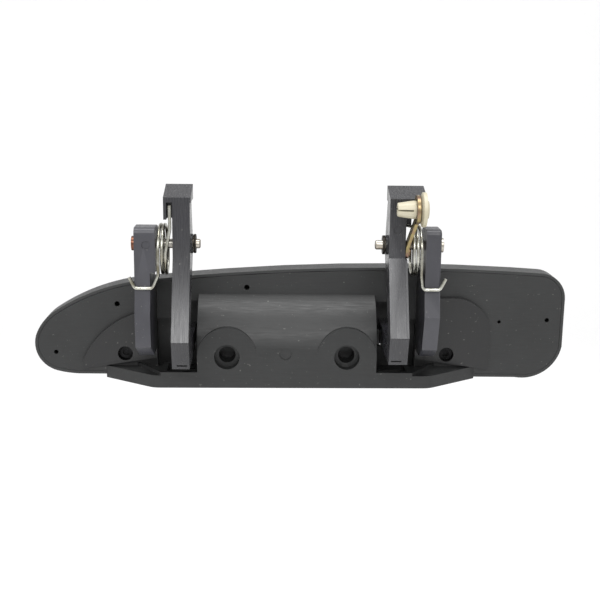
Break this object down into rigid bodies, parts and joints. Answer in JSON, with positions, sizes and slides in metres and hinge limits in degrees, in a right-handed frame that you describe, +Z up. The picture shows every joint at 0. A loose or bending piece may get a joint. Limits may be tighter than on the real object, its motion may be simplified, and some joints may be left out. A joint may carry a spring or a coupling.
{
  "type": "vehicle door handle",
  "caption": "Exterior lift-flap door handle: bezel, finger cup, sprung hinged grip on bell-crank arms, latch-rod lever and clip.",
  "frame": {"origin": "midway between the two fixing screws, on the floor of their counterbores", "axes": "+X along the handle to the right seen from inside the door, +Y out of the door, +Z up"},
  "size_m": [0.2394, 0.0572, 0.0896],
  "materials": {
    "bezel_abs": "fine textured black moulding",
    "housing_nylon": "satin black glass-filled moulding",
    "grip_abs": "fine textured black moulding",
    "arm_nylon": "semi-gloss black glass-filled moulding",
    "bracket_nylon": "satin black glass-filled moulding",
    "screw_steel": "black-passivated steel",
    "pin_steel": "zinc-plated, drawn and headed",
    "push_nut_steel": "phosphated spring steel",
    "bush_acetal": "moulded acetal",
    "spring_wire": "drawn music wire, zinc-plated",
    "stop_rubber": "moulded rubber",
    "lever_steel": "yellow-zinc plated stamped sheet",
    "rivet_steel": "yellow-zinc plated",
    "clip_nylon": "natural moulded nylon"
  },
  "bodies": {
    "housing": {"front_bezel": "bezel_abs", "housing_base": "housing_nylon", "left_hinge_bracket": "bracket_nylon", "right_hinge_bracket": "bracket_nylon", "left_bracket_screw": "screw_steel", "right_bracket_screw": "screw_steel", "left_pivot_pin": "pin_steel", "right_pivot_pin": "pin_steel", "left_push_nut": "push_nut_steel", "right_push_nut": "push_nut_steel", "left_torsion_spring": "spring_wire", "right_torsion_spring": "spring_wire", "left_bump_stop": "stop_rubber", "right_bump_stop": "stop_rubber"},
    "lift_handle": {"grip": "grip_abs", "left_arm": "arm_nylon", "right_arm": "arm_nylon", "left_arm_screw": "screw_steel", "right_arm_screw": "screw_steel", "left_pivot_bush": "bush_acetal", "right_pivot_bush": "bush_acetal", "rod_lever": "lever_steel", "lever_rivet": "rivet_steel"},
    "rod_clip": {"rod_clip": "clip_nylon"}
  },
  "joints": [
    {"name": "handle_lift", "type": "hinge", "parent": "housing", "child": "lift_handle", "pos_m": [0, -0.0045, 0.0505], "axis": [1, 0, 0], "range_deg": [0, 25], "stiffness_Nm_per_rad": 0.5, "springref_deg": -34.38, "deforming": ["left_torsion_spring", "right_torsion_spring"]},
    {"name": "rod_clip_turn", "type": "hinge", "parent": "lift_handle", "child": "rod_clip", "pos_m": [0.053, -0.0215, 0.0681], "axis": [1, 0, 0], "range_deg": [-45, 45]}
  ]
}
